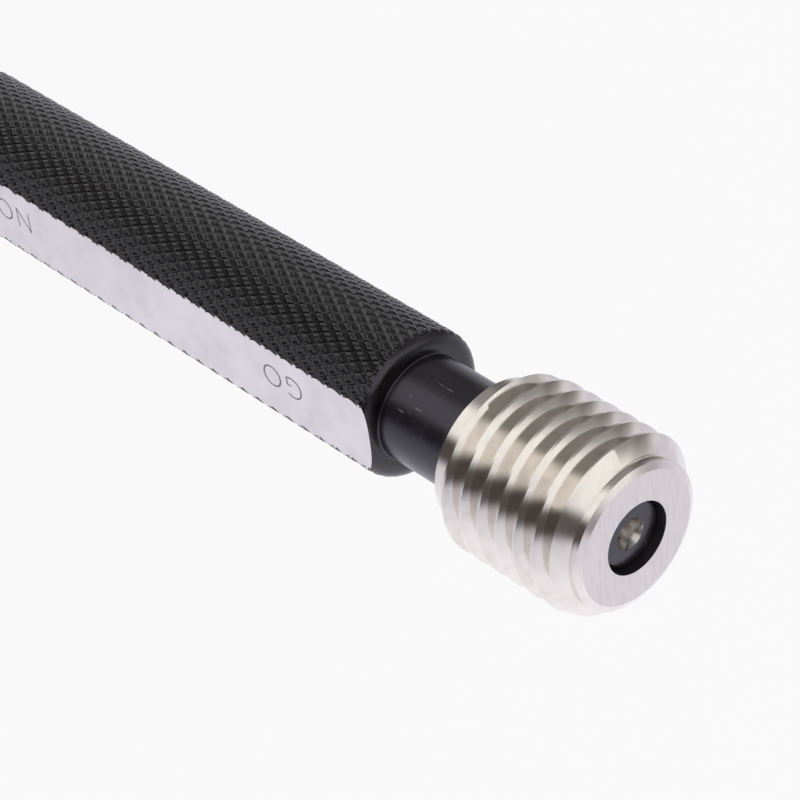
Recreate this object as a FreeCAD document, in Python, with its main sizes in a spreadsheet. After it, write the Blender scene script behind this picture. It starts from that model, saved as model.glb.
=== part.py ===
# Double-ended thread plug gauge, 20 mm coarse thread, standing on its no-go end.
#
# Three pieces: a turned handle with a spigot at each end, and a hardened thread plug pressed
# on each spigot, against the shoulder of the neck. Z is the axis, the origin is the middle of
# the no-go end face, and the marking flat of the handle looks along -Y. Millimetres, degrees.
import FreeCAD, Part
import os
import Sketcher

# name, value, meaning
SIZES = [
    ("thread_pitch", 2.5, "coarse pitch for 20 mm"),
    ("pitch_diameter", 18.376, "where groove and ridge are equally wide"),
    ("flank_angle", 60, "between the two flanks of the groove"),
    ("root_flat", 0.11, "width of the flat bottom of the groove"),
    ("go_crest_land", 0.3125, "width of the go plug's crest, an eighth of the pitch"),
    ("no_go_crest_land", 0.832, "width of the no-go plug's crest, which is cut down"),
    ("cutter_overhang", 0.1, "how far the thread cutter stands out of the crest"),
    ("go_length", 20.2, "go plug from end face to neck"),
    ("no_go_length", 14, "no-go plug from end face to neck"),
    ("pilot_relief", 0.05, "how far the plain pilots lie under the root"),
    ("end_cone_angle", 32, "slope of the end cones from the end face"),
    ("outer_pilot_length", 0.85, "plain pilot beside the end face"),
    ("inner_pilot_length", 1.65, "plain pilot beside the neck"),
    ("rim_width", 0.75, "bevel of the end face along the radius"),
    ("rim_height", 0.35, "bevel of the end face along the axis"),
    ("inner_bevel", 0.2, "bevel of the edge beside the neck"),
    ("bore_diameter", 8, "bore of both plugs, and the spigots that fill them"),
    ("bore_bevel", 0.14, "bevel at the outer mouth of the bore"),
    ("spigot_recess", 0.95, "from the end face down to the spigot"),
    ("spigot_bevel", 0.3, "bevel of the spigot end"),
    ("neck_diameter", 12, "neck between plug and grip"),
    ("neck_length", 10.6, "neck between plug and grip"),
    ("neck_fillet", 0.5, "radius where the neck meets the grip"),
    ("grip_diameter", 16.8, "over the crests of the knurl"),
    ("grip_length", 80, "between the end faces of the grip"),
    ("grip_end_radius", 1.25, "rounding of both grip ends"),
    ("flat_height", 7.18, "from the axis to the marking flat"),
    ("centre_cone_diameter", 3.8, "mouth of the lathe centre holes"),
    ("centre_cone_angle", 60, "cone of the lathe centre holes"),
    ("centre_drill_diameter", 1.6, "drilled end of the lathe centre holes"),
    ("centre_drill_length", 1.4, "drilled end of the lathe centre holes"),
    ("drill_tip_angle", 118, "tip of the drilled end"),
]

PITCH_RADIUS = "Sizes.pitch_diameter / 2"
FLANK_SLOPE = "tan(Sizes.flank_angle / 2 * 1deg)"
ROOT_RADIUS = f"({PITCH_RADIUS} - (Sizes.thread_pitch / 4 - Sizes.root_flat / 2) / {FLANK_SLOPE})"
PILOT_RADIUS = f"({ROOT_RADIUS} - Sizes.pilot_relief)"
BORE_RADIUS = "Sizes.bore_diameter / 2"
GRIP_RADIUS = "Sizes.grip_diameter / 2"
NECK_RADIUS = "Sizes.neck_diameter / 2"

# heights up the axis
GRIP_START = "(Sizes.no_go_length + Sizes.neck_length)"
GRIP_END = f"({GRIP_START} + Sizes.grip_length)"
GO_PLUG_SEAT = f"({GRIP_END} + Sizes.neck_length)"
TOTAL_LENGTH = f"({GO_PLUG_SEAT} + Sizes.go_length)"
LOWER_SPIGOT_END = "Sizes.spigot_recess"
UPPER_SPIGOT_END = f"({TOTAL_LENGTH} - Sizes.spigot_recess)"


def make_sheet(doc):
    sheet = doc.addObject("Spreadsheet::Sheet", "Sizes")
    for row, (name, value, meaning) in enumerate(SIZES, 1):
        sheet.set(f"A{row}", name)
        sheet.set(f"B{row}", str(value))
        sheet.set(f"C{row}", meaning)
        sheet.setAlias(f"B{row}", name)
    doc.recompute()


def make_body(doc, name):
    body = doc.addObject("PartDesign::Body", name)
    body.Label = name
    return body


def origin_part(body, role):
    return next(item for item in body.Origin.OriginFeatures if item.Role == role)


def outline(body, name, corners, plane="XZ_Plane"):
    """A closed sketch of straight lines. Each corner is two formulas; "0" lies on the axis."""
    sketch = body.newObject("Sketcher::SketchObject", name)
    sketch.AttachmentSupport = (origin_part(body, plane), "")
    sketch.MapMode = "FlatFace"
    points = [[body.evalExpression(formula) for formula in corner] for corner in corners]
    count = len(points)
    for line in range(count):
        start = FreeCAD.Vector(*points[line], 0)
        end = FreeCAD.Vector(*points[(line + 1) % count], 0)
        sketch.addGeometry(Part.LineSegment(start, end))
    for line in range(count):
        sketch.addConstraint(Sketcher.Constraint("Coincident", line, 2, (line + 1) % count, 1))
        place_corner(sketch, line, corners[line], points[line])
    return sketch


def place_corner(sketch, line, corner, point):
    for kind, axis, formula, value in zip(("DistanceX", "DistanceY"), (-2, -1), corner, point):
        if formula == "0":
            sketch.addConstraint(Sketcher.Constraint("PointOnObject", line, 1, axis))
        else:
            number = sketch.addConstraint(Sketcher.Constraint(kind, -1, 1, line, 1, value))
            sketch.setExpression(f"Constraints[{number}]", formula)


def turn(body, kind, name, corners):
    """A Revolution or Groove of an outline about the body's own Z axis."""
    feature = body.newObject(f"PartDesign::{kind}", name)
    feature.Profile = outline(body, f"{name}_outline", corners)
    feature.ReferenceAxis = (origin_part(body, "Z_Axis"), [""])
    feature.Angle = 360
    body.Document.recompute()
    return feature


def rings(body, radius, heights):
    """Names of the round edges of this radius at these heights."""
    wanted = body.evalExpression(radius)
    levels = [body.evalExpression(height) for height in heights]
    names = []
    for number, edge in enumerate(body.Tip.Shape.Edges, 1):
        if not isinstance(edge.Curve, Part.Circle) or abs(edge.Curve.Radius - wanted) > 1e-4:
            continue
        if any(abs(edge.Curve.Center.z - level) < 1e-4 for level in levels):
            names.append(f"Edge{number}")
    return names


def round_edges(body, name, radius, edges):
    base = body.Tip
    fillet = body.newObject("PartDesign::Fillet", name)
    fillet.Base = (base, edges)
    fillet.setExpression("Radius", radius)
    body.Document.recompute()


# ---- thread plugs ----

def groove_half_width(radius):
    return f"(Sizes.thread_pitch / 4 + ({radius} - {PITCH_RADIUS}) * {FLANK_SLOPE})"


def crest_radius_for(land):
    return f"({PITCH_RADIUS} + (Sizes.thread_pitch / 4 - {land} / 2) / {FLANK_SLOPE})"


def plug_section(crest_radius, length):
    cone_length = f"({crest_radius} - {PILOT_RADIUS}) * tan(Sizes.end_cone_angle * 1deg)"
    outer_pilot_end = "(Sizes.rim_height + Sizes.outer_pilot_length)"
    inner_pilot_end = f"({length} - Sizes.inner_bevel - Sizes.inner_pilot_length)"
    return [
        (f"{BORE_RADIUS} + Sizes.bore_bevel", "0"),
        (f"{PILOT_RADIUS} - Sizes.rim_width", "0"),
        (PILOT_RADIUS, "Sizes.rim_height"),
        (PILOT_RADIUS, outer_pilot_end),
        (crest_radius, f"{outer_pilot_end} + {cone_length}"),
        (crest_radius, f"{inner_pilot_end} - {cone_length}"),
        (PILOT_RADIUS, inner_pilot_end),
        (PILOT_RADIUS, f"{length} - Sizes.inner_bevel"),
        (f"{PILOT_RADIUS} - Sizes.inner_bevel", length),
        (BORE_RADIUS, length),
        (BORE_RADIUS, "Sizes.bore_bevel"),
    ]


def cut_thread(body, crest_radius, length):
    """Right-hand groove that starts a pitch before the end face and leaves a pitch past the neck."""
    top = f"({crest_radius} + Sizes.cutter_overhang)"
    corners = [(radius, f"-Sizes.thread_pitch {side} {groove_half_width(radius)}")
               for radius, side in ((ROOT_RADIUS, "-"), (top, "-"), (top, "+"), (ROOT_RADIUS, "+"))]
    groove = body.newObject("PartDesign::SubtractiveHelix", "thread_groove")
    groove.Profile = outline(body, "groove_outline", corners)
    groove.ReferenceAxis = (origin_part(body, "Z_Axis"), [""])
    groove.Mode = "pitch-height-angle"
    groove.LeftHanded = False
    groove.setExpression("Pitch", "Sizes.thread_pitch")
    groove.setExpression("Height", f"{length} + 2 * Sizes.thread_pitch")
    body.Document.recompute()


def make_plug(doc, name, crest_land, length):
    """A thread plug with its end face at height zero and its neck end above."""
    body = make_body(doc, name)
    crest_radius = crest_radius_for(crest_land)
    turn(body, "Revolution", "blank", plug_section(crest_radius, length))
    cut_thread(body, crest_radius, length)
    return body


def make_no_go_plug(doc):
    return make_plug(doc, "no_go_thread_plug", "Sizes.no_go_crest_land", "Sizes.no_go_length")


def make_go_plug(doc):
    body = make_plug(doc, "go_thread_plug", "Sizes.go_crest_land", "Sizes.go_length")
    turned_over = FreeCAD.Rotation(FreeCAD.Vector(1, 0, 0), 180)
    body.Placement = FreeCAD.Placement(FreeCAD.Vector(0, 0, 0), turned_over)
    body.setExpression("Placement.Base.z", TOTAL_LENGTH)
    return body


# ---- handle ----

def handle_section():
    spigot_face = f"{BORE_RADIUS} - Sizes.spigot_bevel"
    return [
        ("0", LOWER_SPIGOT_END),
        (spigot_face, LOWER_SPIGOT_END),
        (BORE_RADIUS, f"{LOWER_SPIGOT_END} + Sizes.spigot_bevel"),
        (BORE_RADIUS, "Sizes.no_go_length"),
        (NECK_RADIUS, "Sizes.no_go_length"),
        (NECK_RADIUS, GRIP_START),
        (GRIP_RADIUS, GRIP_START),
        (GRIP_RADIUS, GRIP_END),
        (NECK_RADIUS, GRIP_END),
        (NECK_RADIUS, GO_PLUG_SEAT),
        (BORE_RADIUS, GO_PLUG_SEAT),
        (BORE_RADIUS, f"{UPPER_SPIGOT_END} - Sizes.spigot_bevel"),
        (spigot_face, UPPER_SPIGOT_END),
        ("0", UPPER_SPIGOT_END),
    ]


def centre_hole(body, name, face, inward):
    """Lathe centre hole from the height of a spigot face; inward is "+" or "-"."""
    cone_radius, drill_radius = "Sizes.centre_cone_diameter / 2", "Sizes.centre_drill_diameter / 2"
    cone_depth = f"({cone_radius} - {drill_radius}) / tan(Sizes.centre_cone_angle / 2 * 1deg)"
    drill_depth = f"({cone_depth} + Sizes.centre_drill_length)"
    tip_depth = f"({drill_depth} + {drill_radius} / tan(Sizes.drill_tip_angle / 2 * 1deg))"
    turn(body, "Groove", name, [
        ("0", face),
        (cone_radius, face),
        (drill_radius, f"{face} {inward} {cone_depth}"),
        (drill_radius, f"{face} {inward} {drill_depth}"),
        ("0", f"{face} {inward} {tip_depth}"),
    ])


def cut_marking_flat(body):
    """A flat along the whole grip, milled from below the no-go end upwards."""
    side = GRIP_RADIUS
    flat = body.newObject("PartDesign::Pocket", "marking_flat")
    flat.Profile = outline(body, "flat_outline", [
        (f"-{side}", "-Sizes.flat_height"),
        (f"-{side}", f"-{side} - Sizes.grip_end_radius"),
        (side, f"-{side} - Sizes.grip_end_radius"),
        (side, "-Sizes.flat_height"),
    ], "XY_Plane")
    flat.Type = "ThroughAll"
    flat.Reversed = True
    body.Document.recompute()


def make_handle(doc):
    body = make_body(doc, "handle")
    turn(body, "Revolution", "turned_bar", handle_section())
    centre_hole(body, "lower_centre_hole", LOWER_SPIGOT_END, "+")
    centre_hole(body, "upper_centre_hole", UPPER_SPIGOT_END, "-")
    grip_ends = (GRIP_START, GRIP_END)
    round_edges(body, "neck_roots", "Sizes.neck_fillet", rings(body, NECK_RADIUS, grip_ends))
    round_edges(body, "grip_ends", "Sizes.grip_end_radius", rings(body, GRIP_RADIUS, grip_ends))
    cut_marking_flat(body)
    return body


# ---- checks and files ----

def check(doc, bodies):
    doc.recompute()
    for item in doc.Objects:
        if "Invalid" in item.State or "Error" in item.State:
            raise SystemExit(f"{item.Name} failed to rebuild")
    for body in bodies:
        if body.Shape.isNull() or not body.Shape.isValid() or len(body.Shape.Solids) != 1:
            raise SystemExit(f"{body.Label} is not one valid solid")
        for earlier, later in zip(solid_features(body), solid_features(body)[1:]):
            if later.Shape.Volume > earlier.Shape.Volume - 1e-3 and "Fillet" not in later.TypeId:
                raise SystemExit(f"{later.Label} of {body.Label} cuts nothing")


def solid_features(body):
    return [item for item in body.Group if item.TypeId != "Sketcher::SketchObject"]


def main():
    doc = FreeCAD.newDocument("ThreadPlugGauge")
    make_sheet(doc)
    bodies = [make_handle(doc), make_go_plug(doc), make_no_go_plug(doc)]
    check(doc, bodies)
    os.makedirs("parts", exist_ok=True)
    for body in bodies:
        body.Shape.exportStep(f"parts/{body.Label}.step")
        print(body.Label, round(body.Shape.Volume, 3), body.Shape.BoundBox)


main()
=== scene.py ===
import bmesh
import bpy
import math
from mathutils import Matrix, Vector


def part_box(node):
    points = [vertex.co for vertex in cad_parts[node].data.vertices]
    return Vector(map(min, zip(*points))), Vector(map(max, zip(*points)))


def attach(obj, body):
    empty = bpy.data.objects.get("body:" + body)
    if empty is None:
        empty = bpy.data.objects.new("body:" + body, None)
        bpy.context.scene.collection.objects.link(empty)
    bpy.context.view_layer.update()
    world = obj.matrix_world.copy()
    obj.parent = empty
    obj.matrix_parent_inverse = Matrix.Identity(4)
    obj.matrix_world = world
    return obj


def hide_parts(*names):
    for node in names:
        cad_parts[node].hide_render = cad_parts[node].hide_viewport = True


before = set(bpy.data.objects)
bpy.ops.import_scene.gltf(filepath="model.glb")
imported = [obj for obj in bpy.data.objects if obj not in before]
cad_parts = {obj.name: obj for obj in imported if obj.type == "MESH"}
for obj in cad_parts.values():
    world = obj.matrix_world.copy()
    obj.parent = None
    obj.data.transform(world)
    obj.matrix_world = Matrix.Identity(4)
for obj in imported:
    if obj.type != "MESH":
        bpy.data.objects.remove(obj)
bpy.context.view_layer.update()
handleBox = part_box("handle")
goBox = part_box("go_thread_plug")
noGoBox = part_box("no_go_thread_plug")
print("frame loaded")


# small helpers for meshes

def newPiece(name, bm, materials, sharpDegrees, flatIndex=None):
    mesh = bpy.data.meshes.new(name)
    bm.to_mesh(mesh)
    bm.free()
    for material in materials:
        mesh.materials.append(material)
    mesh.shade_smooth()
    mesh.set_sharp_from_angle(angle=math.radians(sharpDegrees))
    for polygon in mesh.polygons:
        if polygon.material_index == flatIndex:
            polygon.use_smooth = False
    piece = bpy.data.objects.new(name, mesh)
    bpy.context.scene.collection.objects.link(piece)
    return piece


def drawLine(bm, corners, closed=False):
    # corners are (radius, height) in the XZ plane
    verts = [bm.verts.new((radius, 0, height)) for radius, height in corners]
    ends = verts[1:] + verts[:1] if closed else verts[1:]
    edges = [bm.edges.new(pair) for pair in zip(verts, ends)]
    return verts + edges


def arc(centre, radius, startDegrees, endDegrees, steps):
    angles = [math.radians(startDegrees + (endDegrees - startDegrees) * step / steps)
              for step in range(steps + 1)]
    return [(centre[0] + radius * math.cos(angle), centre[1] + radius * math.sin(angle))
            for angle in angles]


def turnRound(bm, corners, steps, closed=False):
    outline = drawLine(bm, corners, closed)
    bmesh.ops.spin(bm, geom=outline, cent=(0, 0, 0), axis=(0, 0, 1), dvec=(0, 0, 0),
                   angle=math.tau, steps=steps, use_merge=True)
    bmesh.ops.remove_doubles(bm, verts=bm.verts, dist=1e-7)


def facesOutward(bm):
    bmesh.ops.recalc_face_normals(bm, faces=bm.faces)


def radiusOf(point):
    return math.hypot(point.x, point.y)


# small helpers for materials

def newMaterial(name, **sockets):
    material = bpy.data.materials.new(name)
    material.use_nodes = True
    shader = material.node_tree.nodes["Principled BSDF"]
    for socket, value in sockets.items():
        shader.inputs[socket.replace("_", " ")].default_value = value
    return material, material.node_tree, shader


def addNode(tree, kind, inputs=None, **settings):
    node = tree.nodes.new(f"ShaderNode{kind}")
    for name, value in settings.items():
        setattr(node, name, value)
    for name, value in (inputs or {}).items():
        if isinstance(value, bpy.types.NodeSocket):
            tree.links.new(value, node.inputs[name])
        else:
            node.inputs[name].default_value = value
    return node


def maths(tree, operation, first, second=0.0):
    return addNode(tree, "Math", {0: first, 1: second}, operation=operation).outputs[0]


def mapRange(tree, value, fromLow, fromHigh, toLow, toHigh):
    node = addNode(tree, "MapRange", {"Value": value, "From Min": fromLow, "From Max": fromHigh,
                                      "To Min": toLow, "To Max": toHigh})
    return node.outputs["Result"]


def smoothStep(tree, value, low, high):
    node = addNode(tree, "MapRange", {"Value": value, "From Min": low, "From Max": high},
                   interpolation_type="SMOOTHSTEP")
    return node.outputs["Result"]


def mixColour(tree, factor, first, second):
    node = addNode(tree, "Mix", {0: factor, 6: first, 7: second}, data_type="RGBA")
    return node.outputs[2]


def noise(tree, vector, scale, detail=3.0, roughness=0.55):
    node = addNode(tree, "TexNoise", {"Vector": vector, "Scale": scale, "Detail": detail,
                                      "Roughness": roughness})
    return node.outputs["Fac"]


def objectPlace(tree):
    return addNode(tree, "TexCoord").outputs["Object"]


def linesAround(tree, length, fineness, detail=3.0):
    # noise drawn out into lines that run round the gauge's axis
    x, y, z = addNode(tree, "SeparateXYZ", {0: objectPlace(tree)}).outputs
    radius = maths(tree, "SQRT", maths(tree, "ADD", maths(tree, "MULTIPLY", x, x),
                                       maths(tree, "MULTIPLY", y, y)))
    across = maths(tree, "ADD", z, maths(tree, "MULTIPLY", radius, 1.618))
    vector = addNode(tree, "CombineXYZ", {
        0: maths(tree, "MULTIPLY", maths(tree, "DIVIDE", x, radius), length),
        1: maths(tree, "MULTIPLY", maths(tree, "DIVIDE", y, radius), length),
        2: maths(tree, "MULTIPLY", across, fineness)}).outputs[0]
    return noise(tree, vector, 1.0, detail)


def scratches(tree, scale, stretch, turnDegrees, low, high):
    # thin straight marks, 0 to 1, lying across the axis at one angle
    mapping = addNode(tree, "Mapping", {
        "Vector": objectPlace(tree), "Rotation": (0, 0, math.radians(turnDegrees)),
        "Scale": (scale, scale * stretch, scale)})
    return smoothStep(tree, noise(tree, mapping.outputs[0], 1.0, 2.0), low, high)


def linkRough(tree, shader, value, roughness):
    tree.links.new(mapRange(tree, value, 0.3, 0.7, *roughness), shader.inputs["Roughness"])


def linkBump(tree, shader, height, depth):
    bump = addNode(tree, "Bump", {"Height": height, "Distance": depth, "Strength": 1.0})
    tree.links.new(bump.outputs[0], shader.inputs["Normal"])


groundSteel = {
    "colour": (0.79, 0.745, 0.69, 1),
    "stain": (0.70, 0.66, 0.61, 1),
    "cloudScale": 400.0,      # per metre, as every scale here
    "cloudEdge": (0.35, 0.8),
    "roughness": (0.10, 0.18),
    "lineLength": 1.3,        # turns of noise round the axis
    "lineFineness": 9000.0,
    "lineDepth": 0.0000012,
}


def makeGroundSteel(name, finish):
    material, tree, shader = newMaterial(name, Metallic=1.0)
    lines = linesAround(tree, finish["lineLength"], finish["lineFineness"])
    cloud = noise(tree, objectPlace(tree), groundSteel["cloudScale"])
    stained = smoothStep(tree, cloud, *groundSteel["cloudEdge"])
    colour = mixColour(tree, stained, finish["colour"], finish["stain"])
    tree.links.new(colour, shader.inputs["Base Color"])
    linkRough(tree, shader, cloud, finish["roughness"])
    linkBump(tree, shader, lines, finish["lineDepth"])
    return material


threadSteel = {
    "colour": (0.79, 0.745, 0.69, 1),
    "stain": (0.66, 0.62, 0.57, 1),
    "roughness": (0.11, 0.16),
    "lineLength": 2.0,
    "lineFineness": 7000.0,
    "lineDepth": 0.0000006,
}
lappedSteel = {
    "colour": (0.70, 0.665, 0.635, 1),
    "scuffed": (0.61, 0.58, 0.56, 1),
    "scuff": 0.6,
    # each set of scratches: scale, stretch, turn in degrees, and the noise it starts and ends at
    "scratches": ((250.0, 9.0, 25, 0.52, 0.66), (300.0, 11.0, 80, 0.54, 0.68),
                  (220.0, 12.0, 140, 0.54, 0.68), (500.0, 8.0, -20, 0.54, 0.68)),
    "scratchDepth": 0.000003,
    "grainScale": 900.0,
    "pit": (0.30, 0.28, 0.28, 1),
    "pitScale": 1500.0,
    "pitEdge": (0.76, 0.80),
    "cloudScale": 350.0,
    "roughness": (0.26, 0.36),
}


def makeLappedSteel():
    material, tree, shader = newMaterial("lappedSteel", Metallic=1.0)
    place = objectPlace(tree)
    first, *others = lappedSteel["scratches"]
    marks = scratches(tree, *first)
    for marking in others:
        marks = maths(tree, "MAXIMUM", marks, scratches(tree, *marking))
    pits = smoothStep(tree, noise(tree, place, lappedSteel["pitScale"], 1.0), *lappedSteel["pitEdge"])
    scuffed = maths(tree, "MULTIPLY", marks, lappedSteel["scuff"])
    colour = mixColour(tree, scuffed, lappedSteel["colour"], lappedSteel["scuffed"])
    colour = mixColour(tree, pits, colour, lappedSteel["pit"])
    tree.links.new(colour, shader.inputs["Base Color"])
    linkRough(tree, shader, noise(tree, place, lappedSteel["cloudScale"]), lappedSteel["roughness"])
    grain = noise(tree, place, lappedSteel["grainScale"])
    linkBump(tree, shader, maths(tree, "ADD", marks, grain), lappedSteel["scratchDepth"])
    return material


# painted shade: the plug's bore gets a near-black colour in place of the shade inside it, not the steel's
# own colour
boreSteelPaintedShade = {
    "colour": (0.020, 0.017, 0.021, 1),
    "pale": (0.03, 0.027, 0.03, 1),
    "paleEdge": (0.4, 0.8),
    "cloudScale": 500.0,
    "roughness": (0.30, 0.42),
    "lineFineness": 5000.0,
    "lineDepth": 0.000001,
}
turnedBlack = {
    "colour": (0.0105, 0.009, 0.0115, 1),
    "worn": (0.050, 0.046, 0.050, 1),
    "bare": (0.36, 0.34, 0.33, 1),
    "index": 1.62,
    "tint": (0.90, 0.86, 1.0, 1),
    "ringLength": 1.1,        # pale rings left by turning
    "ringFineness": 2600.0,
    "ringEdge": (0.60, 0.74),
    "ringShare": 0.45,
    "speckScale": 1300.0,
    "speckEdge": (0.735, 0.80),
    "nick": (260.0, 14.0, 35, 0.70, 0.76),
    "cloudScale": 500.0,
    "roughness": (0.20, 0.30),
    "lineFineness": 4500.0,
    "lineDepth": 0.0000016,
}


def makeBlackSteel(name, finish, colourOf, **sockets):
    material, tree, shader = newMaterial(name, **sockets)
    tree.links.new(colourOf(tree), shader.inputs["Base Color"])
    linkRough(tree, shader, noise(tree, objectPlace(tree), finish["cloudScale"]), finish["roughness"])
    linkBump(tree, shader, linesAround(tree, 1.6, finish["lineFineness"]), finish["lineDepth"])
    return material


# near-black painted shade for the plug's bore, with faint paler clouds
def paintedShadeBoreColour(tree):
    cloud = noise(tree, objectPlace(tree), boreSteelPaintedShade["cloudScale"])
    pale = smoothStep(tree, cloud, *boreSteelPaintedShade["paleEdge"])
    return mixColour(tree, pale, boreSteelPaintedShade["colour"], boreSteelPaintedShade["pale"])


def turnedColour(tree):
    finish = turnedBlack
    rings = linesAround(tree, finish["ringLength"], finish["ringFineness"], 2.0)
    rings = maths(tree, "MULTIPLY", smoothStep(tree, rings, *finish["ringEdge"]), finish["ringShare"])
    specks = noise(tree, objectPlace(tree), finish["speckScale"], 4.0, 0.7)
    specks = smoothStep(tree, specks, *finish["speckEdge"])
    nicks = scratches(tree, *finish["nick"])
    colour = mixColour(tree, rings, finish["colour"], finish["worn"])
    return mixColour(tree, maths(tree, "MAXIMUM", specks, nicks), colour, finish["bare"])


knurledBlack = {
    "colour": (0.0034, 0.0027, 0.0028, 1),
    "worn": (0.0085, 0.0074, 0.0076, 1),
    "rubbedScale": 260.0,
    "rubbedEdge": (0.52, 0.75),
    "index": 1.52,
    "cloudScale": 700.0,
    "roughness": (0.15, 0.25),
    "grainScale": 3500.0,
    "grainDepth": 0.000004,
}


def makeKnurledBlack():
    material, tree, shader = newMaterial("knurledBlack", IOR=knurledBlack["index"])
    place = objectPlace(tree)
    grain = noise(tree, place, knurledBlack["grainScale"])
    rubbed = noise(tree, place, knurledBlack["rubbedScale"], 4.0, 0.7)
    rubbed = smoothStep(tree, rubbed, *knurledBlack["rubbedEdge"])
    colour = mixColour(tree, rubbed, knurledBlack["colour"], knurledBlack["worn"])
    tree.links.new(colour, shader.inputs["Base Color"])
    linkRough(tree, shader, noise(tree, place, knurledBlack["cloudScale"]), knurledBlack["roughness"])
    linkBump(tree, shader, grain, knurledBlack["grainDepth"])
    return material


milledFlat = {
    "colour": (0.75, 0.715, 0.715, 1),
    "cloud": (0.67, 0.64, 0.65, 1),
    "cloudScale": 160.0,
    "cloudEdge": (0.35, 0.75),
    "roughnessScale": 600.0,
    "roughness": (0.30, 0.42),
    "lineScale": (6000.0, 6000.0, 90.0),    # drawn out along the axis
    "lineDepth": 0.0000015,
}


def makeFlatSteel():
    material, tree, shader = newMaterial("milledFlat", Metallic=1.0)
    place = objectPlace(tree)
    drawn = addNode(tree, "Mapping", {"Vector": place, "Scale": milledFlat["lineScale"]}).outputs[0]
    lines = noise(tree, drawn, 1.0)
    cloud = noise(tree, place, milledFlat["cloudScale"], 4.0)
    cloud = smoothStep(tree, cloud, *milledFlat["cloudEdge"])
    colour = mixColour(tree, cloud, milledFlat["colour"], milledFlat["cloud"])
    tree.links.new(colour, shader.inputs["Base Color"])
    linkRough(tree, shader, noise(tree, place, milledFlat["roughnessScale"]), milledFlat["roughness"])
    linkBump(tree, shader, lines, milledFlat["lineDepth"])
    return material


drilledSteel = {
    "colour": (0.52, 0.49, 0.46, 1),
    "anisotropic": 0.75,
    "cloudScale": 900.0,
    "roughness": (0.16, 0.30),
    "lineFineness": 11000.0,
    "lineDepth": 0.000004,
}


def makeDrilledSteel():
    material, tree, shader = newMaterial("drilledSteel", Base_Color=drilledSteel["colour"], Metallic=1.0,
                                         Anisotropic=drilledSteel["anisotropic"])
    tangent = addNode(tree, "Tangent", direction_type="RADIAL", axis="Z")
    tree.links.new(tangent.outputs[0], shader.inputs["Tangent"])
    cloud = noise(tree, objectPlace(tree), drilledSteel["cloudScale"])
    linkRough(tree, shader, cloud, drilledSteel["roughness"])
    lines = linesAround(tree, 2.0, drilledSteel["lineFineness"])
    linkBump(tree, shader, lines, drilledSteel["lineDepth"])
    return material


etching = {
    "colour": (0.155, 0.145, 0.17, 1),
    "faded": (0.24, 0.23, 0.26, 1),
    "cloudScale": 1200.0,
    "fadedEdge": (0.35, 0.65),
    "roughness": (0.45, 0.65),
}


def makeEtching():
    material, tree, shader = newMaterial("etchedGrey")
    cloud = noise(tree, objectPlace(tree), etching["cloudScale"])
    faded = smoothStep(tree, cloud, *etching["fadedEdge"])
    tree.links.new(mixColour(tree, faded, etching["colour"], etching["faded"]), shader.inputs["Base Color"])
    linkRough(tree, shader, cloud, etching["roughness"])
    return material


# the faces of each piece point into these lists
plugMaterials = [makeGroundSteel("groundSteel", groundSteel), makeLappedSteel(),
                 makeBlackSteel("boreSteelPaintedShade", boreSteelPaintedShade, paintedShadeBoreColour),
                 makeGroundSteel("threadSteel", threadSteel)]
handleMaterials = [makeBlackSteel("turnedBlack", turnedBlack, turnedColour,
                                  IOR=turnedBlack["index"], Specular_Tint=turnedBlack["tint"]),
                   makeKnurledBlack(), makeFlatSteel(), makeDrilledSteel()]
etchedGrey = makeEtching()
print("materials made")


thread = {
    "pitch": 0.0025,
    "pitchRadius": 0.009188,
    "flankDegrees": 30.0,     # from a plane across the axis
    "rootFlat": 0.00011,
    "edgeBreak": 0.00003,
    "stepsPerTurn": 120,
}
plugEnd = {
    "pilotRelief": 0.00005,
    "coneDegrees": 32.0,
    "outerPilot": 0.00085,
    "innerPilot": 0.00165,
    "rimWidth": 0.00075,
    "rimHeight": 0.00035,
    "innerBevel": 0.0002,
    "boreRadius": 0.004,
    "boreBevel": 0.00004,
    "steps": 240,
}


def grooveHalfWidth(radius):
    slope = math.tan(math.radians(thread["flankDegrees"]))
    return thread["pitch"] / 4 + (radius - thread["pitchRadius"]) * slope


def rootRadius():
    slope = math.tan(math.radians(thread["flankDegrees"]))
    return thread["pitchRadius"] - (thread["pitch"] / 4 - thread["rootFlat"] / 2) / slope


def plugOutline(crestRadius, endHeight, seatHeight):
    # from the bore at the end face round to the bore at the seat
    side = 1 if seatHeight > endHeight else -1
    length = abs(seatHeight - endHeight)
    pilotRadius = rootRadius() - plugEnd["pilotRelief"]
    coneLength = (crestRadius - pilotRadius) * math.tan(math.radians(plugEnd["coneDegrees"]))
    outerPilotEnd = plugEnd["rimHeight"] + plugEnd["outerPilot"]
    innerPilotEnd = length - plugEnd["innerBevel"] - plugEnd["innerPilot"]
    corners = [
        (plugEnd["boreRadius"], plugEnd["boreBevel"]),
        (plugEnd["boreRadius"] + plugEnd["boreBevel"], 0),
        (pilotRadius - plugEnd["rimWidth"], 0),
        (pilotRadius, plugEnd["rimHeight"]),
        (pilotRadius, outerPilotEnd),
        (crestRadius, outerPilotEnd + coneLength),
        (crestRadius, innerPilotEnd - coneLength),
        (pilotRadius, innerPilotEnd),
        (pilotRadius, length - plugEnd["innerBevel"]),
        (pilotRadius - plugEnd["innerBevel"], length),
        (plugEnd["boreRadius"], length),
    ]
    return [(radius, endHeight + side * depth) for radius, depth in corners]


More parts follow.
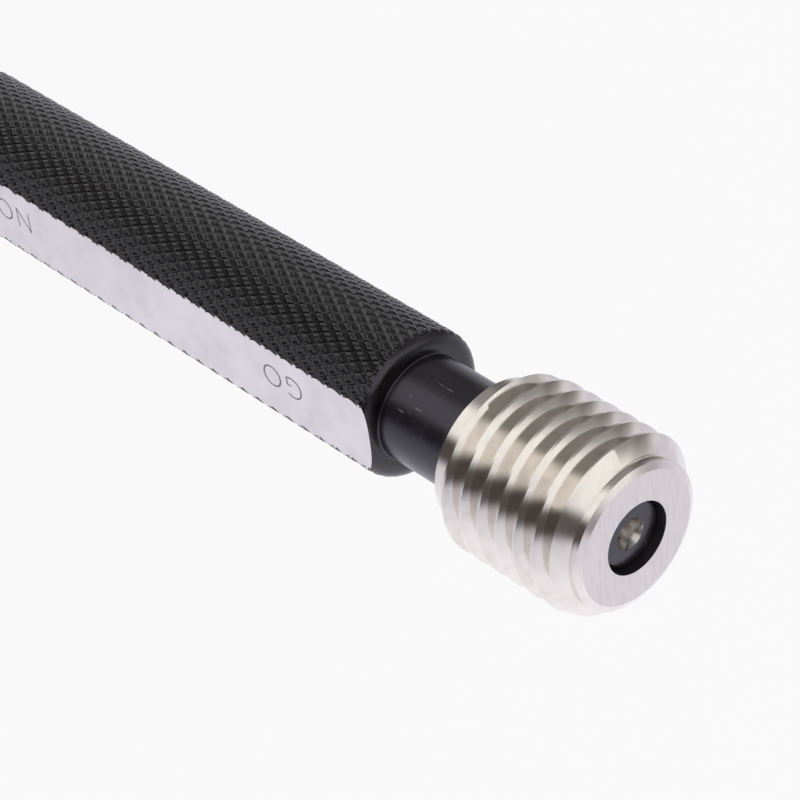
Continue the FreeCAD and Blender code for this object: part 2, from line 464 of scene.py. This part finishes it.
def makeGroove(crestRadius, lowest, turns):
    # the threading tool's path: its section is wound up the axis
    bm = bmesh.new()
    root = rootRadius()
    shoulder = crestRadius - thread["edgeBreak"]
    top = crestRadius + 3 * thread["edgeBreak"]
    atRoot, atShoulder = grooveHalfWidth(root), grooveHalfWidth(shoulder)
    atTop = atShoulder + top - shoulder
    section = [(root, -atRoot), (shoulder, -atShoulder), (top, -atTop),
               (top, atTop), (shoulder, atShoulder), (root, atRoot)]
    outline = drawLine(bm, [(radius, lowest + height) for radius, height in section], closed=True)
    edges = [part for part in outline if isinstance(part, bmesh.types.BMEdge)]
    bmesh.ops.contextual_create(bm, geom=edges)
    steps = round(thread["stepsPerTurn"] * turns)
    bmesh.ops.spin(bm, geom=bm.faces[:] + bm.edges[:] + bm.verts[:], cent=(0, 0, 0), axis=(0, 0, 1),
                   dvec=(0, 0, thread["pitch"] * turns / steps), angle=math.tau * turns, steps=steps)
    facesOutward(bm)
    for face in bm.faces:
        face.material_index = 3
    return newPiece("grooveTool", bm, plugMaterials, 180)


def makePlug(name, node, box, endHeight, seatHeight):
    crestRadius = box[1].x
    bm = bmesh.new()
    turnRound(bm, plugOutline(crestRadius, endHeight, seatHeight), plugEnd["steps"], closed=True)
    facesOutward(bm)
    for face in bm.faces:
        # the bore faces take the near-black painted shade
        if radiusOf(face.calc_center_median()) < plugEnd["boreRadius"] + plugEnd["boreBevel"]:
            face.material_index = 2
        elif abs(face.normal.z) > 0.99:
            face.material_index = 1
    blank = newPiece(name + "Blank", bm, plugMaterials, 180)
    length = abs(seatHeight - endHeight)
    turns = math.ceil(length / thread["pitch"]) + 2
    below = math.ceil((endHeight - min(endHeight, seatHeight)) / thread["pitch"]) + 1
    groove = makeGroove(crestRadius, endHeight - below * thread["pitch"], turns)
    cut = blank.modifiers.new("threadGroove", "BOOLEAN")
    cut.operation = "DIFFERENCE"
    cut.solver = "EXACT"
    cut.material_mode = "INDEX"
    cut.object = groove
    bpy.context.view_layer.update()
    evaluated = blank.evaluated_get(bpy.context.evaluated_depsgraph_get())
    bm = bmesh.new()
    bm.from_mesh(evaluated.to_mesh())
    bmesh.ops.remove_doubles(bm, verts=bm.verts, dist=2e-7)
    plug = newPiece(name, bm, plugMaterials, 20)
    bpy.data.objects.remove(blank)
    bpy.data.objects.remove(groove)
    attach(plug, "root")
    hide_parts(node)
    print(name, "has", len(plug.data.polygons), "faces")


makePlug("goThreadPlug", "go_thread_plug", goBox, goBox[1].z, goBox[0].z)
makePlug("noGoThreadPlug", "no_go_thread_plug", noGoBox, noGoBox[0].z, noGoBox[1].z)


knurl = {
    "starts": 38,
    "rightLead": 0.0962,      # axial length of one turn of the right-hand ridges
    "leftLead": 0.0937,
    "rightPhase": 0.146,      # shifts each family across itself, in ridges
    "leftPhase": 0.096,
    "depth": 0.00021,
    # one ridge, from its middle: how far across, and how high
    "rightShape": ((0.0, 0.62), (0.14, 1.0), (0.32, 0.62), (0.5, 0.0)),
    "leftShape": ((0.0, 1.0), (0.20, 0.93), (0.39, 0.66), (0.5, 0.0)),
}
grip = {
    "neckLength": 0.0106,
    "roundLength": 0.00125,   # along the axis, where the grip's ends are turned round
    "roundWidth": 0.0019,
    "roundSteps": 9,
    "faceStep": 0.00005,
    "neckRadius": 0.006,
    "neckFillet": 0.00014,
    "spigotRadius": 0.004,
    "spigotRound": 0.0006,
    "turnSteps": 160,
    "flatSink": 0.000012,     # leaves room for the etched words
}
centreHole = {
    "mouthRadius": 0.0018,
    "drillRadius": 0.0007,
    "drillLength": 0.0014,
    "tipLength": 0.00048,
}
gripRadius = handleBox[1].x
flatHeight = -handleBox[0].y - grip["flatSink"]
gripStart = noGoBox[1].z + grip["neckLength"]
gripEnd = goBox[0].z - grip["neckLength"]


def fullShape(shape):
    # the half ridge mirrored over one whole pitch
    return list(shape) + [(1 - across, high) for across, high in shape[-2::-1]]


def gridLine(shape, turns):
    # moves an evenly spaced grid line to the shape's own corner
    whole = math.floor(turns + 1e-6)
    points = fullShape(shape)
    return whole + points[round((turns - whole) * (len(points) - 1))][0]


def ridgeHeight(shape, turns):
    part = turns - math.floor(turns)
    points = fullShape(shape)
    for (lowAt, lowHigh), (highAt, highHigh) in zip(points, points[1:]):
        if part <= highAt:
            return lowHigh + (highHigh - lowHigh) * (part - lowAt) / (highAt - lowAt)
    return points[-1][1]


def gripProfile(height):
    # radius of the rounded grip ends
    inset = min(height - gripStart, gripEnd - height)
    if inset >= grip["roundLength"]:
        return gripRadius
    rise = 1 - max(inset, 0.0) / grip["roundLength"]
    return gripRadius - grip["roundWidth"] * (1 - math.sqrt(1 - rise * rise))


def cutAcross(bm, perMetre, height, above=False, below=False):
    upward = Vector((1, 1, 0))
    bmesh.ops.bisect_plane(bm, geom=bm.verts[:] + bm.edges[:] + bm.faces[:], dist=1e-6,
                           plane_co=upward * height * perMetre / 2, plane_no=upward,
                           clear_outer=above, clear_inner=below)


def makeKnurledBand(bm):
    # unrolled: x counts right-hand ridges, y left-hand ridges, and x + y climbs the axis
    starts = knurl["starts"]
    perMetre = starts / knurl["rightLead"] + starts / knurl["leftLead"]
    first = math.floor(gripStart * perMetre) - starts
    last = math.ceil(gripEnd * perMetre) + 1
    cells = len(fullShape(knurl["rightShape"])) - 1
    bmesh.ops.create_grid(bm, x_segments=starts * cells, y_segments=(last - first) * cells, size=0.5)
    bmesh.ops.transform(bm, verts=bm.verts, matrix=Matrix.LocRotScale(
        Vector((starts / 2, (first + last) / 2, 0)), None, Vector((starts, last - first, 1))))
    for vert in bm.verts:
        vert.co.x = gridLine(knurl["rightShape"], vert.co.x) - knurl["rightPhase"]
        vert.co.y = gridLine(knurl["leftShape"], vert.co.y) - knurl["leftPhase"]
    cutAcross(bm, perMetre, gripStart, below=True)
    cutAcross(bm, perMetre, gripEnd, above=True)
    for step in range(1, grip["roundSteps"] + 1):
        inset = grip["roundLength"] * (1 - math.cos(math.pi / 2 * step / grip["roundSteps"]))
        cutAcross(bm, perMetre, gripStart + inset)
        cutAcross(bm, perMetre, gripEnd - inset)
    for vert in bm.verts:
        right, left = vert.co.x, vert.co.y
        height = (right + left) / perMetre
        turn = (left / starts - height / knurl["leftLead"]) * math.tau
        high = min(ridgeHeight(knurl["rightShape"], right + knurl["rightPhase"]),
                   ridgeHeight(knurl["leftShape"], left + knurl["leftPhase"]))
        distance = min(gripProfile(height), gripRadius - knurl["depth"] * (1 - high))
        vert.co = (distance * math.cos(turn), distance * math.sin(turn), height)
    bmesh.ops.remove_doubles(bm, verts=bm.verts, dist=2e-6)


def spigotOutline(side, face, seat, tip):
    # from the grip face over the neck to the bottom of the centre hole
    # side is +1 for the upper end
    fillet, neck = grip["neckFillet"], grip["neckRadius"]
    spigot, rounding = grip["spigotRadius"], grip["spigotRound"]
    coneDepth = (centreHole["mouthRadius"] - centreHole["drillRadius"]) * math.sqrt(3)
    drillDepth = coneDepth + centreHole["drillLength"]
    corners = [(gripRadius - grip["roundWidth"] - grip["faceStep"], 0)]
    corners += [(neck + fillet - radius, fillet - height)
                for radius, height in arc((0, 0), fillet, 90, 0, 4)]
    reach = side * (seat - face)
    end = side * (tip - face)
    corners += [(neck, reach), (spigot, reach)]
    corners += arc((spigot - rounding, end - rounding), rounding, 0, 90, 8)
    corners += [(centreHole["mouthRadius"], end), (centreHole["drillRadius"], end - coneDepth),
                (centreHole["drillRadius"], end - drillDepth),
                (0, end - drillDepth - centreHole["tipLength"])]
    return [(radius, face + side * height) for radius, height in corners]


def handleFinish(face):
    # 0 turned black, 1 knurled black, 3 the drilled centre holes
    centre = face.calc_center_median()
    inset = min(centre.z - gripStart, gripEnd - centre.z)
    if inset > 0:
        rounded = radiusOf(centre) > gripProfile(centre.z) - 0.00001
        return 0 if rounded and inset < grip["roundLength"] else 1
    return 3 if radiusOf(centre) < centreHole["mouthRadius"] else 0


def makeHandle():
    bm = bmesh.new()
    makeKnurledBand(bm)
    for side, face, seat, tip in ((-1, gripStart, noGoBox[1].z, handleBox[0].z),
                                  (1, gripEnd, goBox[0].z, handleBox[1].z)):
        rim = [edge for edge in bm.edges if edge.is_boundary
               and all(abs(vert.co.z - face) < 1e-5 for vert in edge.verts)]
        known = set(bm.verts)
        turned = bmesh.new()
        turnRound(turned, spigotOutline(side, face, seat, tip), grip["turnSteps"])
        turnedMesh = bpy.data.meshes.new("turnedEnd")
        turned.to_mesh(turnedMesh)
        turned.free()
        bm.from_mesh(turnedMesh)
        bpy.data.meshes.remove(turnedMesh)
        ring = [edge for edge in bm.edges if edge.is_boundary and edge.verts[0] not in known
                and abs(edge.verts[0].co.z - face) < 1e-5]
        bmesh.ops.bridge_loops(bm, edges=rim + ring)
    for face in bm.faces:
        face.material_index = handleFinish(face)
    # the milled flat
    cut = bmesh.ops.bisect_plane(bm, geom=bm.verts[:] + bm.edges[:] + bm.faces[:], dist=1e-7,
                                 plane_co=(0, -flatHeight, 0), plane_no=(0, -1, 0), clear_outer=True)
    edges = [part for part in cut["geom_cut"] if isinstance(part, bmesh.types.BMEdge)]
    flat = bmesh.ops.triangle_fill(bm, edges=edges, use_beauty=True, normal=(0, -1, 0))
    facesOutward(bm)
    for part in flat["geom"]:
        if isinstance(part, bmesh.types.BMFace):
            part.material_index = 2
    handle = newPiece("knurledHandle", bm, handleMaterials, 35, flatIndex=2)
    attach(handle, "root")
    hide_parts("handle")
    print("handle has", len(handle.data.polygons), "faces")


makeHandle()


words = {
    "goStart": 0.0943,        # where each word begins, up the axis
    "noGoStart": 0.0470,
    "base": -0.0021,          # the letters' feet, across the flat
    "size": 0.0041,
    "thinned": -0.00009,
    "spacing": 1.15,
    "thickness": 0.00001,     # half of it to each side of the flat
}


def makeWord(name, text, start):
    curve = bpy.data.curves.new(name, "FONT")
    curve.body = text
    curve.size = words["size"]
    curve.offset = words["thinned"]
    curve.space_character = words["spacing"]
    curve.extrude = words["thickness"] / 2
    holder = bpy.data.objects.new(name + "Curve", curve)
    bpy.context.scene.collection.objects.link(holder)
    bpy.context.view_layer.update()
    evaluated = holder.evaluated_get(bpy.context.evaluated_depsgraph_get())
    bm = bmesh.new()
    bm.from_mesh(evaluated.to_mesh())
    bpy.data.objects.remove(holder)
    bpy.data.curves.remove(curve)
    bmesh.ops.remove_doubles(bm, verts=bm.verts, dist=1e-7)
    # the word reads down the axis, with its top to +X
    place = Matrix(((0, 1, 0, words["base"]),
                    (0, 0, -1, -flatHeight),
                    (-1, 0, 0, start),
                    (0, 0, 0, 1)))
    bmesh.ops.transform(bm, matrix=place, verts=bm.verts)
    facesOutward(bm)
    word = newPiece(name, bm, [etchedGrey], 30)
    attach(word, "root")


makeWord("goWord", "GO", words["goStart"])
makeWord("noGoWord", "NO GO", words["noGoStart"])
print("words etched")


studio = {
    "cameraPlace": (-0.19416, -0.14764, 0.29378),
    "cameraRight": (0.10771, 0.73349, 0.67112),
    "cameraUp": (-0.77209, 0.48698, -0.40832),
    "lens": 135.02,
    "floorSize": 4.0,
    "floorColour": (0.9, 0.9, 0.9, 1),
    "floorGlow": 0.85,        # share of plain white that the camera sees in the floor
}


def makeCamera():
    camera = bpy.data.cameras.new("camera")
    camera.lens = studio["lens"]
    camera.sensor_width = 36.0
    camera.clip_start = 0.01
    camera.clip_end = 20.0
    holder = bpy.data.objects.new("camera", camera)
    bpy.context.scene.collection.objects.link(holder)
    right, up = Vector(studio["cameraRight"]), Vector(studio["cameraUp"])
    turned = Matrix((right, up, right.cross(up))).transposed()
    holder.matrix_world = Matrix.Translation(studio["cameraPlace"]) @ turned.to_4x4()
    bpy.context.scene.camera = holder


def makeFloor():
    bm = bmesh.new()
    bmesh.ops.create_grid(bm, x_segments=2, y_segments=2, size=studio["floorSize"])
    material, tree, shader = newMaterial("whiteFloor", Base_Color=studio["floorColour"], Roughness=0.9)
    white = addNode(tree, "Emission", {"Color": (1, 1, 1, 1), "Strength": 1.0})
    seen = addNode(tree, "LightPath").outputs["Is Camera Ray"]
    share = maths(tree, "MULTIPLY", seen, studio["floorGlow"])
    both = addNode(tree, "MixShader", {0: share, 1: shader.outputs[0], 2: white.outputs[0]})
    tree.links.new(both.outputs[0], tree.nodes["Material Output"].inputs["Surface"])
    floor = newPiece("floor", bm, [material], 30)
    floor.visible_glossy = False


sky = {
    "table": (0.71, 0.705, 0.80, 1),
    "tableGlow": (1.10, 1.085, 1.19, 1),
    "tableAim": (1.0, -0.031, -0.021),
    "window": (1.10, 1.09, 1.09, 1),
    "windowEdge": (0.0, -0.3),          # on the far side of the gap
    "ceiling": (0.32, 0.312, 0.31, 1),
    "ceilingAim": (-0.742, 0.670, 0.024),
    "ceilingEdge": (0.49, 0.70),
    "seamAcross": (-0.898, -0.259, 0.357),
    "seamHalf": (0.06, 0.23),
    "seamFade": (0.2, 0.6),
    "seamDark": 0.45,
    "gap": (0.095, 0.078, 0.080, 1),
    "gapAcross": (0.9647, -0.2231, -0.1406),
    "gapHalf": (0.105, 0.223),          # at the top, and what it gains on its way down
    "gapEdge": 0.50,
    "gapFade": (-0.40, 0.26),
}


def makeWorld():
    world = bpy.data.worlds.new("studio")
    bpy.context.scene.world = world
    world.use_nodes = True
    tree = world.node_tree
    direction = addNode(tree, "TexCoord").outputs["Generated"]

    def towards(aim):
        return addNode(tree, "VectorMath", {0: direction, 1: aim}, operation="DOT_PRODUCT").outputs["Value"]

    across = towards(sky["gapAcross"])
    glow = smoothStep(tree, towards(sky["tableAim"]), 0.0, 1.0)
    colour = mixColour(tree, glow, sky["table"], sky["tableGlow"])
    colour = mixColour(tree, smoothStep(tree, across, *sky["windowEdge"]), colour, sky["window"])
    ceiling = smoothStep(tree, towards(sky["ceilingAim"]), *sky["ceilingEdge"])
    colour = mixColour(tree, ceiling, colour, sky["ceiling"])
    seam = maths(tree, "ABSOLUTE", towards(sky["seamAcross"]))
    seam = smoothStep(tree, seam, sky["seamHalf"][1], sky["seamHalf"][0])
    seam = maths(tree, "MULTIPLY", seam, smoothStep(tree, towards((0, 1, 0)), *sky["seamFade"]))
    colour = mixColour(tree, maths(tree, "MULTIPLY", seam, sky["seamDark"]), colour, (0, 0, 0, 1))
    # down the gap from its highest point
    down = towards(Vector((0, 0, 1)).cross(Vector(sky["gapAcross"])).normalized() * -1)
    half = maths(tree, "MULTIPLY", maths(tree, "MAXIMUM", down, 0.0), sky["gapHalf"][1])
    half = maths(tree, "ADD", sky["gapHalf"][0], half)
    share = maths(tree, "DIVIDE", maths(tree, "ABSOLUTE", across), half)
    gap = smoothStep(tree, share, 1 + sky["gapEdge"], 1 - sky["gapEdge"])
    gap = maths(tree, "MULTIPLY", gap, smoothStep(tree, down, *sky["gapFade"]))
    colour = mixColour(tree, gap, colour, sky["gap"])
    seen = addNode(tree, "LightPath").outputs["Is Camera Ray"]
    colour = mixColour(tree, seen, colour, (1, 1, 1, 1))
    tree.links.new(colour, tree.nodes["Background"].inputs["Color"])


makeCamera()
makeFloor()
makeWorld()
bpy.context.scene.view_settings.view_transform = "Standard"
print("studio set")
